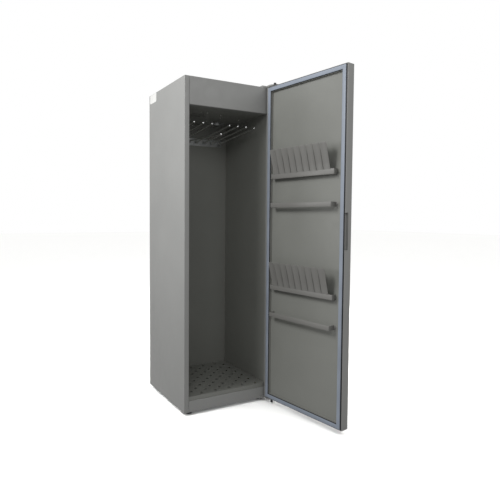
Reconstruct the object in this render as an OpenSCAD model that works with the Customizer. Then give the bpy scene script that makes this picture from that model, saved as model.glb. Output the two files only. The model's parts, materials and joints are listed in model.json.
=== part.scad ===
// Tall one-door drying cabinet for clothes and gloves, its door standing open.
// Millimetres. X runs to the right, Y to the back, Z up from the floor.
// The origin is the centre of the casing's footprint.

/* [Casing] */
// Width of the casing
body_w = 595; // [500:5:750]
// Depth of the casing, without the door
body_d = 545; // [450:5:700]
// Height of the casing, without the feet
body_h = 1920; // [1600:10:2310]
// Height of the feet that shows below the casing
foot_gap = 20; // [18:1:30]
// Sheet thickness of the casing and the door skin
casing_t = 1.2; // [0.8:0.1:2]
// Sheet thickness of the chamber lining
lining_t = 1; // [0.8:0.1:1.5]
// Width of the stile at each side of the opening
stile_w = 30; // [24:1:45]
// Depth of the stile's return into the opening
jamb_d = 18; // [12:1:25]
// Height of the fascia above the opening
fascia_h = 158; // [150:1:200]
// Height of the plinth's top edge above the casing's lower edge
plinth_h = 64; // [50:1:90]
// Depth of the air duct behind the chamber
duct_d = 30; // [20:1:50]
// Radius of a foot's pad
foot_r = 20; // [15:1:25]
// Radius of a foot's stud
stud_r = 5; // [4:0.5:6]

/* [Floor grate] */
// Height of the grate's top face above the casing's lower edge
grate_h = 88; // [75:1:120]
// Sheet thickness of the grate
grate_t = 1.5; // [1:0.1:3]
// Diameter of an air hole
vent_d = 17; // [10:1:22]
// Spacing of the air holes across
vent_pitch_x = 95; // [60:1:120]
// Spacing of the rows of air holes
vent_pitch_y = 40; // [30:1:60]

/* [Hanging rods] */
// Distance of the outer rods from the chamber's sides
rod_side = 60.5; // [40:0.5:80]
// Radius of a rod
rod_r = 5; // [4:0.5:6]
// Radius of the ball at a rod's tip
rod_tip_r = 7.5; // [6:0.5:9]
// Distance of the rod tips behind the casing's front
rod_tip_back = 63; // [60:1:150]
// Distance of the rod pivots below the chamber's ceiling
rod_drop = 120; // [90:1:200]
// Angle by which a raised rod points up
rod_rise = 5; // [0:0.5:8]
// Angle by which the fourth rod points down
slack_rod_drop = 2.5; // [0:0.5:10]
// Radius of a rod's pivot pin
rod_pin_r = 3; // [2:0.5:4]

/* [Door] */
// Thickness of the door without its seal
door_t = 53; // [44:1:64]
// Angle at which the door stands open
door_open = 98; // [90:1:100]
// Space between the door and the casing, which the seal fills
seal_gap = 10; // [8:0.5:14]
// Width of the door's margin between the seal and the hinged edge
seal_inset = 16; // [12:1:25]
// Width of the door's other margins, outside the seal
seal_margin = 6; // [3:1:25]
// Width of the seal
seal_w = 26; // [18:1:35]
// Depth of the door lining's recess
recess_d = 14; // [10:1:20]
// Radius of the door's upright edges
door_edge_r = 6; // [4:0.5:8]
// Width of the finger notch on the door's inner face
notch_w = 13; // [10:1:15]
// Depth of the finger notch along the door's edge
notch_d = 22; // [15:1:28]
// Length of the finger notch
notch_l = 192; // [120:1:250]
// Height of the finger notch's middle above the casing's lower edge
notch_h = 1059; // [900:1:1200]

/* [Hinges] */
// Distance of the hinge pins from the casing's side
pin_inset = 24; // [22:0.5:30]
// Distance of the hinge pins in front of the casing
pin_reach = 29.5; // [29:0.5:36]
// Radius of a hinge pin
hinge_pin_r = 5; // [4:0.5:6]
// Thickness of the lower hinge bracket
bracket_t = 5; // [4:0.5:6]
// Thickness of the upper hinge bracket
top_bracket_t = 10; // [5:0.5:12]
// Radius of a door stop
stop_r = 7.5; // [6:0.5:8]

/* [Door fittings] */
// Heights of the glove racks above the casing's lower edge
rack_heights = [693, 1357];
// Heights of the plain rails above the casing's lower edge
rail_heights = [531, 1188];
// Space beside a glove rack, inside the door lining's edge
rack_side = 20; // [10:1:40]
// Space beside a plain rail, inside the door lining's edge
rail_side = 27; // [18:1:50]
// Height of a glove rack's front strip
rack_strip_h = 30; // [20:1:40]
// Height of a plain rail's front strip
rail_strip_h = 26; // [20:1:40]
// Distance of a glove rack's front from the door lining
rack_stand_off = 32; // [24:1:36]
// Distance of a plain rail's front from the door lining
rail_stand_off = 44; // [24:1:50]
// Sheet thickness of racks and rails
strip_t = 2; // [1.5:0.1:3]
// Number of tongues on a glove rack, where there is room for them
tongue_n = 9; // [2:1:12]
// Width of a tongue
tongue_w = 40; // [30:1:75]
// Spacing of the tongues
tongue_pitch = 47; // [38:1:110]
// Length of a tongue
tongue_l = 152; // [100:1:170]
// Angle by which the tongues lean into the cabinet
tongue_lean = 15; // [5:1:16]

/* [Fan and heater] */
// Radius of the fan housing
fan_r = 105; // [90:1:110]
// Height of the fan housing and the heater box
fan_h = 88; // [70:1:90]
// Radius of the fan wheel
wheel_r = 85; // [60:1:85]
// Number of blades on the fan wheel
blade_n = 28; // [16:1:36]
// Outer radius of the exhaust spigot
spigot_r = 50; // [40:1:60]
// Height of the exhaust spigot above the casing
spigot_h = 45; // [30:1:60]

/* [Hidden] */
$fn = 64;

casing_c = [0.55, 0.54, 0.52];
lining_c = [0.5, 0.5, 0.48];
steel_c = [0.72, 0.73, 0.74];
dark_c = [0.14, 0.14, 0.15];
seal_c = [0.56, 0.6, 0.65];
wool_c = [0.8, 0.74, 0.5];
board_c = [0.1, 0.4, 0.2];

// Gap between parts that slide past each other, and between a panel and its frame
slide_gap = 0.3;
// Radial clearance of a turning pin, and of a pin that is fixed in its hole
run_gap = 0.06;
fixed_gap = 0.02;
// What a cutting solid reaches past the face that it cuts
over = 1;

// Faces of the casing
left = -body_w / 2;
right = body_w / 2;
front = -body_d / 2;
back = body_d / 2;
base = foot_gap;
top = base + body_h;

// Chamber: its lining, ceiling and ledges
opening_top = top - fascia_h;
lining_x = left + stile_w - casing_t;
lining_y = back - duct_d - lining_t;
ceiling_z = opening_top + casing_t;
ceiling_top = ceiling_z + lining_t;
fascia_return = jamb_d + 6;
lining_rise = 30;
ledge_w = 14;
grate_top = base + grate_h;
ledge_top = grate_top - grate_t - slide_gap;

// Flanges of the casing's panels
side_flange = 18;
panel_flange = 20;
bottom_t = 1.5;
bottom_flange = 25;
jamb_bottom = base + bottom_flange + 5;
jamb_top = top - panel_flange - 5;
plinth_lift = 3.5;

// Feet
foot_x = body_w / 2 - 48;
foot_y = body_d / 2 - 40;
foot_pad_h = 8;
nut_h = 16;
nut_r = stud_r + 5;

// Grate
grate_side_gap = 1;
grate_front = front + 6;
grate_flange_h = 23;
vent_margin = 35;

// Rods
rod_n = 8;
rod_pitch = (-2 * lining_x - 2 * rod_side) / (rod_n - 1);
rail_t = 3;
ear_t = 3;
ear_r = 8;
pivot_out = 16;
eye_w = 2 * rod_r + 2;
eye_r = max(rod_pin_r + 4, rod_r + 2);
pivot_y = lining_y - rail_t - pivot_out;
pivot_z = ceiling_z - rod_drop;
slack_rod = 4;
rod_span = (rod_n - 1) * rod_pitch;
rod_len = (pivot_y - front - rod_tip_back) / cos(rod_rise);

// Fan, heater and exhaust above the ceiling
fan_x = left + 202;
fan_y = back - 293;
fan_top = ceiling_top + fan_h;
duct_wall = 1.2;
outlet_w = 90;
outlet_y = fan_y + fan_r + 10;
fan_inlet_r = 60;
wheel_h = 60;
wheel_z = ceiling_top + 12;
shaft_r = 5;
motor_r = 42;
motor_h = 50;
heater_y = [130, 158, 186, 214];
spigot_x = right - 147;
spigot_y = back - 122;
spigot_t = 1.2;
board_x = right - 165;
board_y = front + 60;
board_w = 120;
board_d = 110;
gland_x = right - 82;
gland_z = top - 60;
gland_r = 8;
cord_r = 4.2;

// Door, drawn shut
door_x0 = left + 0.5;
door_x1 = right - 0.5;
door_in = front - seal_gap;
door_out = door_in - door_t;
door_z0 = base + 7;
door_z1 = top - 3;
hinge_x = right - pin_inset;
hinge_y = front - pin_reach;
seal_t = seal_gap - 1.4;
window_in = seal_inset + seal_w;
window_up = seal_margin + seal_w;
lining_face = door_in - recess_d;
notch_z0 = base + notch_h - notch_l / 2;
notch_z1 = base + notch_h + notch_l / 2;
notch_t = 1.5;

// Hinges
bush_r = 8;
bush_flange_r = 11;
bush_l = 22;
bush_gap = 0.4;
nose_r = 20.5;
nut_head_r = 8.5;
lower_plate_top = door_z0 - 3;
lower_plate_d = 11;
lower_leg_t = 3;
// The lower bracket's leg ends just under the shut door's seal
lower_leg_top = door_z0 + seal_margin - 0.5;
nose_w = 18.5;
neck_w = 20;
stop_back = 32;
stop_in = 6;
stop_up = 19;
stop_down = 21;
// The ear that the stop meets when the door stands open
ear_x = stop_r + slide_gap - stop_back * cos(door_open) - stop_in * sin(door_open);
stop_ear_l = 38;

// Door fittings
lining_w = door_x1 - door_x0 - 2 * window_in - 2 * lining_t;
rack_l = lining_w - 2 * rack_side;
rail_l = lining_w - 2 * rail_side;
tongue_count = min(tongue_n, floor((rack_l - tongue_w) / tongue_pitch) + 1);
tongue_round = min(10, tongue_w / 2 - 2);

// Controls on the door's outer face
panel_w = 220;
panel_h = 60;
panel_z = door_z1 - 142;
panel_t = 3;
housing_w = 200;
housing_h = 46;
housing_d = 18;
display_w = 96;
display_h = 34;
display_x = -44;
display_t = 2;
button_r = 7;
button_travel = 1.5;
button_x = [30, 60, 90];
button_out = 2;
button_flange = 1.6;

// A box from its low corner to its high corner
module span(low, high) {
    translate(low) cube(high - low);
}

// A cylinder along X, Y or Z from a point
module rod_x(point, r, l) {
    translate(point) rotate([0, 90, 0]) cylinder(r = r, h = l);
}
module rod_y(point, r, l) {
    translate(point) rotate([-90, 0, 0]) cylinder(r = r, h = l);
}
module rod_z(point, r, l) {
    translate(point) cylinder(r = r, h = l);
}

// What is drawn for the shut door, swung open about the hinge pins
module on_door() {
    translate([hinge_x, hinge_y, 0]) rotate([0, 0, door_open])
        translate([-hinge_x, -hinge_y, 0]) children();
}

// Places of the screws that hold the back panel
screw_r = 2;
screw_head_r = 4;
screw_head_h = 2.2;
back_screw_n = 5;
panel_screw_l = 8;
back_screw_x = left + side_flange / 2 + 1;
back_screw_z = [for (i = [0 : back_screw_n - 1]) base + 60 + i * (body_h - 120) / (back_screw_n - 1)];
top_screws = [[hinge_x - 42, front + 16], [hinge_x - 42, front + 42], [hinge_x + 10, front + 42]];
lower_screws = [hinge_x - 50, hinge_x - 26];
lower_screw_z = lower_leg_top - screw_head_r - 0.5;

// ---- Casing ----

module side_panel() {
    color(casing_c) difference() {
        union() {
            span([left, front, base], [left + casing_t, back, top]);
            span([left, front, base], [left + stile_w, front + casing_t, top]);
            span([left + stile_w - casing_t, front, jamb_bottom],
                 [left + stile_w, front + jamb_d, jamb_top]);
            span([left, back - casing_t, base], [left + side_flange, back, top]);
        }
        for (z = back_screw_z)
            rod_y([back_screw_x, back - casing_t - over, z], screw_r + slide_gap, casing_t + 2 * over);
    }
}

module side_panel_left() {
    side_panel();
}

module side_panel_right() {
    mirror([1, 0, 0]) side_panel();
}

module back_panel() {
    slot_n = 6;
    color(casing_c) difference() {
        span([left + casing_t, back - 2 * casing_t, base], [right - casing_t, back - casing_t, top - casing_t]);
        for (side = [-1, 1], z = back_screw_z)
            rod_y([side * back_screw_x, back - 2 * casing_t - over, z], screw_r + slide_gap,
                  casing_t + 2 * over);
        for (i = [0 : slot_n - 1])
            span([-60, back - 2 * casing_t - over, top - 110 + i * 12],
                 [60, back - casing_t + over, top - 105 + i * 12]);
        rod_y([gland_x, back - 2 * casing_t - over, gland_z], gland_r + slide_gap, casing_t + 2 * over);
    }
}

module top_panel() {
    x0 = left + casing_t;
    x1 = right - casing_t;
    y0 = front + casing_t;
    color(casing_c) difference() {
        union() {
            span([x0, y0, top - casing_t], [x1, back - casing_t, top]);
            span([x0, y0, top - panel_flange], [x1, y0 + casing_t, top]);
            span([x0, back - 3 * casing_t, top - panel_flange], [x1, back - 2 * casing_t, top]);
            for (x = [x0, x1 - casing_t])
                span([x, y0, top - panel_flange], [x + casing_t, back - 2 * casing_t, top]);
        }
        rod_z([spigot_x, spigot_y, top - casing_t - over], spigot_r + 0.5, casing_t + 2 * over);
        for (p = top_screws)
            rod_z([p[0], p[1], top - casing_t - over], screw_r + slide_gap, casing_t + 2 * over);
    }
}

module front_fascia() {
    x0 = left + stile_w + slide_gap;
    x1 = right - stile_w - slide_gap;
    color(casing_c) union() {
        span([x0, front, opening_top], [x1, front + casing_t, top]);
        span([x0, front, opening_top], [x1, front + fascia_return, opening_top + casing_t]);
        for (x = [x0, x1 - casing_t])
            span([x, front, opening_top], [x + casing_t, front + jamb_d, jamb_top]);
    }
}

module front_plinth() {
    x0 = left + stile_w + slide_gap;
    x1 = right - stile_w - slide_gap;
    z1 = base + plinth_h;
    color(casing_c) difference() {
        union() {
            span([x0, front, base + plinth_lift], [x1, front + casing_t, z1]);
            span([x0, front, z1 - casing_t], [x1, front + 12, z1]);
        }
        for (x = lower_screws)
            rod_y([x, front - over, lower_screw_z], screw_r + slide_gap, casing_t + 2 * over);
    }
}

module bottom_panel() {
    x0 = left + casing_t;
    x1 = right - casing_t;
    y0 = front + casing_t;
    y1 = back - 2 * casing_t;
    z1 = base + bottom_flange;
    color(steel_c) difference() {
        union() {
            span([x0, y0, base], [x1, y1, base + bottom_t]);
            for (x = [x0, x1 - bottom_t])
                span([x, y0, base], [x + bottom_t, y1, z1]);
            for (y = [y0, y1 - bottom_t])
                span([x0, y, base], [x1, y + bottom_t, z1]);
            for (x = [-foot_x, foot_x], y = [-foot_y, foot_y])
                rod_z([x, y, base], nut_r, nut_h);
        }
        for (x = [-foot_x, foot_x], y = [-foot_y, foot_y])
            rod_z([x, y, base - over], stud_r + run_gap, nut_h + 2 * over);
        for (x = lower_screws)
            rod_y([x, y0 - over, lower_screw_z], screw_r + slide_gap, bottom_t + 2 * over);
    }
}

module foot(side_x, side_y) {
    color(dark_c) translate([side_x * foot_x, side_y * foot_y, 0]) union() {
        cylinder(r = foot_r, h = foot_pad_h);
        cylinder(r = stud_r + 6, h = foot_gap - 1, $fn = 6);
        cylinder(r = stud_r, h = foot_gap + nut_h + 10);
    }
}

module foot_front_left() {
    foot(-1, -1);
}

module foot_front_right() {
    foot(1, -1);
}

module foot_rear_left() {
    foot(-1, 1);
}

module foot_rear_right() {
    foot(1, 1);
}

module cable_gland() {
    hex_r = gland_r + 4;
    y0 = back - casing_t;
    color(dark_c) difference() {
        union() {
            rod_y([gland_x, y0 - 16, gland_z], gland_r, 30);
            translate([gland_x, y0, gland_z]) rotate([-90, 30, 0]) cylinder(r = hex_r, h = 6, $fn = 6);
            translate([gland_x, y0 - casing_t, gland_z]) rotate([90, 30, 0])
                cylinder(r = hex_r, h = 5, $fn = 6);
        }
        rod_y([gland_x, y0 - 16 - over, gland_z], cord_r, 30 + 2 * over);
    }
}

module screw(l) {
    cylinder(r = screw_head_r, h = screw_head_h);
    translate([0, 0, -l]) cylinder(r = screw_r, h = l + 1);
}

module casing_screws() {
    color(steel_c) {
        for (side = [-1, 1], z = back_screw_z)
            translate([side * back_screw_x, back, z]) rotate([-90, 0, 0]) screw(panel_screw_l);
        for (p = top_screws)
            translate([p[0], p[1], top + top_bracket_t]) screw(top_bracket_t + 7);
        for (x = lower_screws)
            translate([x, front - lower_leg_t, lower_screw_z]) rotate([90, 0, 0]) screw(12);
    }
}

// ---- Chamber ----

module inner_wall() {
    x0 = lining_x - lining_t;
    z0 = ledge_top - lining_t;
    color(lining_c) union() {
        span([x0, front + 6, z0], [lining_x, lining_y + lining_t, opening_top + lining_rise]);
        span([x0, front + jamb_d + slide_gap, z0], [lining_x + ledge_w, lining_y, ledge_top]);
    }
}

module inner_wall_left() {
    inner_wall();
}

module inner_wall_right() {
    mirror([1, 0, 0]) inner_wall();
}

module inner_wall_back() {
    z0 = ledge_top - lining_t;
    lip_x = -lining_x - ledge_w - slide_gap;
    color(lining_c) union() {
        span([lining_x, lining_y, z0], [-lining_x, lining_y + lining_t, ceiling_z]);
        span([-lip_x, lining_y - 10, z0], [lip_x, lining_y, ledge_top]);
    }
}

module ceiling_plate() {
    y0 = front + jamb_d + slide_gap;
    slot_n = 9;
    slot_pitch = 12;
    color(lining_c) difference() {
        union() {
            span([lining_x, y0, ceiling_z], [-lining_x, lining_y + lining_t, ceiling_top]);
            for (x = [lining_x, -lining_x - lining_t])
                span([x, y0, ceiling_z], [x + lining_t, lining_y, ceiling_z + 15]);
        }
        for (i = [0 : slot_n - 1]) {
            dy = (i - (slot_n - 1) / 2) * slot_pitch;
            half_l = sqrt(pow(fan_inlet_r - 5, 2) - dy * dy);
            span([fan_x - half_l, fan_y + dy - 3, ceiling_z - over],
                 [fan_x + half_l, fan_y + dy + 3, ceiling_top + over]);
        }
        rod_z([spigot_x, spigot_y, ceiling_z - over], spigot_r - spigot_t, lining_t + 2 * over);
    }
}

module insulation() {
    color(wool_c) span([left + casing_t + slide_gap, front + 2, jamb_bottom],
                       [lining_x - lining_t - slide_gap, back - panel_screw_l - 2, jamb_top]);
}

module insulation_left() {
    insulation();
}

module insulation_right() {
    mirror([1, 0, 0]) insulation();
}

module floor_grate() {
    half_w = -left - stile_w - grate_side_gap;
    y1 = lining_y - grate_side_gap;
    row_n = floor((y1 - front - vent_margin - vent_d) / vent_pitch_y) + 1;
    half_n = floor((half_w - vent_d) / vent_pitch_x);
    color(steel_c) difference() {
        union() {
            span([-half_w, grate_front, grate_top - grate_t], [half_w, y1, grate_top]);
            span([-half_w, grate_front, grate_top - grate_flange_h],
                 [half_w, grate_front + grate_t, grate_top]);
        }
        for (row = [0 : row_n - 1]) {
            shift = (row % 2 == 0 ? 1 : -1) * vent_pitch_x / 4;
            for (i = [-half_n - 1 : half_n + 1]) {
                x = i * vent_pitch_x + shift;
                if (abs(x) + vent_d < half_w)
                    rod_z([x, front + vent_margin + row * vent_pitch_y, grate_top - grate_t - over],
                          vent_d / 2, grate_t + 2 * over);
            }
        }
    }
}

// ---- Hanging rods ----

function rod_place(i) = (i - 1) * rod_pitch - rod_span / 2;
function rod_angle(i) = i == slack_rod ? -slack_rod_drop : rod_rise;

module rod_rail() {
    half_w = rod_span / 2 + 22;
    color(steel_c) difference() {
        union() {
            span([-half_w, lining_y - rail_t, pivot_z - 24], [half_w, lining_y, pivot_z + 24]);
            for (i = [1 : rod_n], side = [-1, 1]) {
                x = rod_place(i) + side * (eye_w / 2 + slide_gap + ear_t / 2) - ear_t / 2;
                span([x, pivot_y, pivot_z - ear_r], [x + ear_t, lining_y - rail_t, pivot_z + ear_r]);
                rod_x([x, pivot_y, pivot_z], ear_r, ear_t);
            }
        }
        for (i = [1 : rod_n])
            rod_x([rod_place(i) - eye_w, pivot_y, pivot_z], rod_pin_r + fixed_gap, 2 * eye_w);
    }
}

module rod_pins() {
    half_l = eye_w / 2 + slide_gap + ear_t;
    color(steel_c) for (i = [1 : rod_n]) {
        rod_x([rod_place(i) - half_l - 1, pivot_y, pivot_z], rod_pin_r, 2 * half_l + 2);
        for (x = [-half_l - 2, half_l])
            rod_x([rod_place(i) + x, pivot_y, pivot_z], rod_pin_r + 1.5, 2);
    }
}

// Half outline of a rod with a ball at its far end
module rod_profile() {
    square([rod_r, rod_len]);
    intersection() {
        translate([0, rod_len]) circle(r = rod_tip_r);
        translate([0, rod_len - rod_tip_r]) square([rod_tip_r, 2 * rod_tip_r]);
    }
}

module hanging_rod(i) {
    color(steel_c) translate([rod_place(i), pivot_y, pivot_z]) rotate([-rod_angle(i), 0, 0])
        difference() {
            union() {
                rod_x([-eye_w / 2, 0, 0], eye_r, eye_w);
                rotate([90, 0, 0]) rotate_extrude() rod_profile();
            }
            rod_x([-eye_w, 0, 0], rod_pin_r + run_gap, 2 * eye_w);
        }
}

module rod_1() {
    hanging_rod(1);
}

module rod_2() {
    hanging_rod(2);
}

module rod_3() {
    hanging_rod(3);
}

module rod_4() {
    hanging_rod(4);
}

module rod_5() {
    hanging_rod(5);
}

module rod_6() {
    hanging_rod(6);
}

module rod_7() {
    hanging_rod(7);
}

module rod_8() {
    hanging_rod(8);
}

// ---- Fan, heater and exhaust ----

module fan_housing() {
    x0 = fan_x - fan_r;
    color(steel_c) difference() {
        union() {
            rod_z([fan_x, fan_y, ceiling_top], fan_r, fan_h);
            span([x0, fan_y, ceiling_top], [x0 + outlet_w, outlet_y, fan_top]);
        }
        rod_z([fan_x, fan_y, ceiling_top + duct_wall], fan_r - duct_wall, fan_h - 2 * duct_wall);
        span([x0 + duct_wall, fan_y, ceiling_top + duct_wall],
             [x0 + outlet_w - duct_wall, outlet_y + over, fan_top - duct_wall]);
        rod_z([fan_x, fan_y, ceiling_top - over], fan_inlet_r, duct_wall + 2 * over);
        rod_z([fan_x, fan_y, fan_top - duct_wall - over], shaft_r + 3, duct_wall + 2 * over);
    }
}

module fan_wheel() {
    blade_l = 20;
    color(dark_c) union() {
        translate([fan_x, fan_y, wheel_z]) {
            translate([0, 0, wheel_h]) cylinder(r = wheel_r, h = 2);
            difference() {
                cylinder(r = wheel_r, h = 3);
                translate([0, 0, -over]) cylinder(r = wheel_r - blade_l, h = 3 + 2 * over);
            }
            for (i = [0 : blade_n - 1])
                rotate([0, 0, i * 360 / blade_n])
                    translate([wheel_r - blade_l, -0.75, 0]) cube([blade_l - 1, 1.5, wheel_h + 1]);
            translate([0, 0, wheel_h - 18]) cylinder(r = 14, h = 20);
        }
        rod_z([fan_x, fan_y, wheel_z + wheel_h - 18], shaft_r, fan_top + motor_h - 12 - wheel_z - wheel_h + 18);
    }
}

module fan_motor() {
    color(dark_c) difference() {
        union() {
            rod_z([fan_x, fan_y, fan_top], motor_r + 14, 2);
            rod_z([fan_x, fan_y, fan_top], motor_r, motor_h);
        }
        rod_z([fan_x, fan_y, fan_top - over], shaft_r + run_gap, motor_h - 8 + over);
    }
}

module heater_box() {
    x0 = fan_x - fan_r;
    x1 = x0 + outlet_w;
    y1 = back - 3 * casing_t - slide_gap;
    color(steel_c) difference() {
        span([x0, outlet_y, ceiling_top], [x1, y1, fan_top]);
        span([x0 + duct_wall, outlet_y - over, ceiling_top + duct_wall],
             [x1 - duct_wall, y1 - duct_wall, fan_top - duct_wall]);
        span([x0 + duct_wall, lining_y + lining_t, ceiling_top - over],
             [x1 - duct_wall, y1 - duct_wall, ceiling_top + duct_wall + over]);
    }
}

module heater_elements() {
    x0 = fan_x - fan_r + duct_wall;
    l = outlet_w - 2 * duct_wall;
    z = ceiling_top + fan_h / 2;
    fin_n = 6;
    color([0.6, 0.35, 0.2]) for (dy = heater_y) {
        rod_x([x0, fan_y + dy, z], 4, l);
        for (i = [0 : fin_n - 1])
            rod_x([x0 + 8 + i * (l - 17) / (fin_n - 1), fan_y + dy, z], 12, 1);
    }
}

module thermostat() {
    x = fan_x - fan_r + outlet_w / 2;
    y = fan_y + 170;
    color(dark_c) union() {
        rod_z([x, y, fan_top], 9, 8);
        span([x - 14, y - 5, fan_top], [x + 14, y + 5, fan_top + 1.5]);
        for (dx = [-5, 4])
            span([x + dx, y - 3, fan_top + 7], [x + dx + 1, y + 3, fan_top + 16]);
    }
}

module control_board() {
    x1 = board_x + board_w;
    y1 = board_y + board_d;
    z = ceiling_top + 10;
    color(board_c) union() {
        span([board_x, board_y, z], [x1, y1, z + 1.6]);
        for (x = [board_x + 6, x1 - 6], y = [board_y + 6, y1 - 6])
            rod_z([x, y, ceiling_top], 4, 10);
        for (i = [0 : 3])
            span([board_x + 16 + i * 24, board_y + 14, z], [board_x + 34 + i * 24, board_y + 40, z + 18]);
        for (i = [0 : 2])
            rod_z([board_x + 30 + i * 26, board_y + 70, z], 8, 26);
        span([x1 - 40, board_y + 20, z], [x1 - 12, board_y + 90, z + 14]);
    }
}

module exhaust_spigot() {
    z1 = top + spigot_h;
    color(steel_c) difference() {
        union() {
            rod_z([spigot_x, spigot_y, ceiling_top], spigot_r, z1 - ceiling_top);
            rod_z([spigot_x, spigot_y, ceiling_top], spigot_r + 10, duct_wall);
            rod_z([spigot_x, spigot_y, top], spigot_r + 14, 1.5);
        }
        rod_z([spigot_x, spigot_y, ceiling_top - over], spigot_r - spigot_t, z1 - ceiling_top + 2 * over);
    }
}

module reed_switch() {
    x0 = left + stile_w + 8;
    color("white") span([x0, front + casing_t, opening_top + 20], [x0 + 32, front + casing_t + 10, opening_top + 32]);
}

// ---- Hinges ----

// Outline of a hinge bracket's front: its neck, its round nose and the ear for the stop
module bracket_nose() {
    translate([hinge_x - neck_w, hinge_y]) square([neck_w + nose_w, pin_reach]);
    translate([hinge_x, hinge_y]) circle(r = nose_r);
    translate([hinge_x + ear_x, hinge_y - stop_ear_l]) square([nose_w - ear_x, stop_ear_l]);
}

module hinge_bracket_top() {
    color(casing_c) translate([0, 0, top]) difference() {
        linear_extrude(top_bracket_t) {
            translate([hinge_x - 50, front]) square([50 + nose_w, 60]);
            bracket_nose();
        }
        rod_z([hinge_x, hinge_y, -over], hinge_pin_r + fixed_gap, top_bracket_t + 2 * over);
        for (p = top_screws)
            rod_z([p[0], p[1], -over], screw_r + slide_gap, top_bracket_t + 2 * over);
    }
}

module hinge_bracket_bottom() {
    z0 = lower_plate_top - bracket_t;
    leg_x = [hinge_x - 58, hinge_x - 16];
    color(casing_c) difference() {
        union() {
            translate([0, 0, z0]) linear_extrude(bracket_t) {
                translate([hinge_x - 58, front - lower_plate_d]) square([58 + nose_w, lower_plate_d]);
                bracket_nose();
            }
            span([leg_x[0], front - lower_leg_t, z0], [leg_x[1], front, lower_leg_top]);
        }
        rod_z([hinge_x, hinge_y, z0 - over], hinge_pin_r + fixed_gap, bracket_t + 2 * over);
        for (x = lower_screws) {
            rod_y([x, front - lower_leg_t - over, lower_screw_z], screw_r + slide_gap, lower_leg_t + 2 * over);
            rod_y([x, front - lower_plate_d - over, lower_screw_z], screw_head_r + slide_gap,
                  lower_plate_d - lower_leg_t + over);
        }
    }
}

module hinge_pins() {
    z0 = lower_plate_top - bracket_t;
    color(dark_c) {
        rod_z([hinge_x, hinge_y, top + top_bracket_t], nut_head_r, 3);
        rod_z([hinge_x, hinge_y, door_z1 - 20], hinge_pin_r, top + top_bracket_t + 1 - door_z1 + 20);
        translate([hinge_x, hinge_y, z0 - 8]) cylinder(r = nut_head_r, h = 8, $fn = 6);
        rod_z([hinge_x, hinge_y, z0 - 1], hinge_pin_r, door_z0 + 20 - z0 + 1);
    }
}

module hinge_bushes() {
    color(dark_c) on_door() difference() {
        union() {
            rod_z([hinge_x, hinge_y, door_z1 - bush_l], bush_r, bush_l + 1);
            rod_z([hinge_x, hinge_y, door_z1], bush_flange_r, top - door_z1 - bush_gap);
            rod_z([hinge_x, hinge_y, door_z0 - 1], bush_r, bush_l + 1);
            rod_z([hinge_x, hinge_y, lower_plate_top + bush_gap], bush_flange_r,
                  door_z0 - lower_plate_top - bush_gap);
        }
        for (z = [lower_plate_top - over, door_z1 - bush_l - over])
            rod_z([hinge_x, hinge_y, z], hinge_pin_r + run_gap, bush_l + 3 + 2 * over);
    }
}

module door_stops() {
    color(dark_c) on_door() {
        rod_z([hinge_x - stop_back, hinge_y + stop_in, door_z1], stop_r, stop_up);
        rod_z([hinge_x - stop_back, hinge_y + stop_in, door_z0 - stop_down], stop_r, stop_down);
    }
}

// ---- Door ----

// Plan outline of the door with round upright edges, drawn in by a margin
module door_outline(margin) {
    r = door_edge_r - margin;
    x0 = door_x0 + margin;
    x1 = door_x1 - margin;
    y0 = door_out + margin;
    y1 = door_in - margin;
    translate([x0 + r, y0]) square([x1 - x0 - 2 * r, y1 - y0]);
    translate([x0, y0 + r]) square([x1 - x0, y1 - y0 - 2 * r]);
    for (x = [x0 + r, x1 - r], y = [y0 + r, y1 - r])
        translate([x, y]) circle(r = r);
}

module door_shell() {
    color(casing_c) on_door() difference() {
        translate([0, 0, door_z0]) linear_extrude(door_z1 - door_z0) door_outline(0);
        translate([0, 0, door_z0 + casing_t]) linear_extrude(door_z1 - door_z0 - 2 * casing_t)
            door_outline(casing_t);
        span([door_x0 + window_up, door_in - 3 * casing_t, door_z0 + window_up],
             [door_x1 - window_in, door_in + over, door_z1 - window_up]);
        span([door_x0 - over, door_in - notch_d, notch_z0], [door_x0 + notch_w, door_in + over, notch_z1]);
        for (z = [door_z0 - over, door_z1 - casing_t - over])
            rod_z([hinge_x, hinge_y, z], bush_r + fixed_gap, casing_t + 2 * over);
        span([-housing_w / 2 - slide_gap, door_out - over, panel_z - housing_h / 2 - slide_gap],
             [housing_w / 2 + slide_gap, door_out + casing_t + over, panel_z + housing_h / 2 + slide_gap]);
    }
}

module door_lining() {
    color(casing_c) on_door() difference() {
        span([door_x0 + window_up, lining_face - lining_t, door_z0 + window_up],
             [door_x1 - window_in, door_in, door_z1 - window_up]);
        span([door_x0 + window_up + lining_t, lining_face, door_z0 + window_up + lining_t],
             [door_x1 - window_in - lining_t, door_in + over, door_z1 - window_up - lining_t]);
    }
}

module door_insulation() {
    color(wool_c) on_door()
        span([door_x0 + window_up + 4, door_out + casing_t + slide_gap, door_z0 + window_up + 4],
             [door_x1 - window_in - 4, lining_face - lining_t - slide_gap, panel_z - panel_h / 2 - 8]);
}

module door_seal() {
    color(seal_c) on_door() difference() {
        span([door_x0 + seal_margin, door_in, door_z0 + seal_margin],
             [door_x1 - seal_inset, door_in + seal_t, door_z1 - seal_margin]);
        span([door_x0 + window_up, door_in - over, door_z0 + window_up],
             [door_x1 - window_in, door_in + seal_t + over, door_z1 - window_up]);
    }
}

module finger_notch() {
    x1 = door_x0 + notch_w;
    y0 = door_in - notch_d;
    color(casing_c) on_door() union() {
        span([x1 - notch_t, y0, notch_z0], [x1, door_in, notch_z1]);
        span([door_x0, y0, notch_z0], [x1, y0 + notch_t, notch_z1]);
        for (z = [notch_z0, notch_z1 - notch_t])
            span([door_x0, y0, z], [x1, door_in, z + notch_t]);
    }
}

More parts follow.
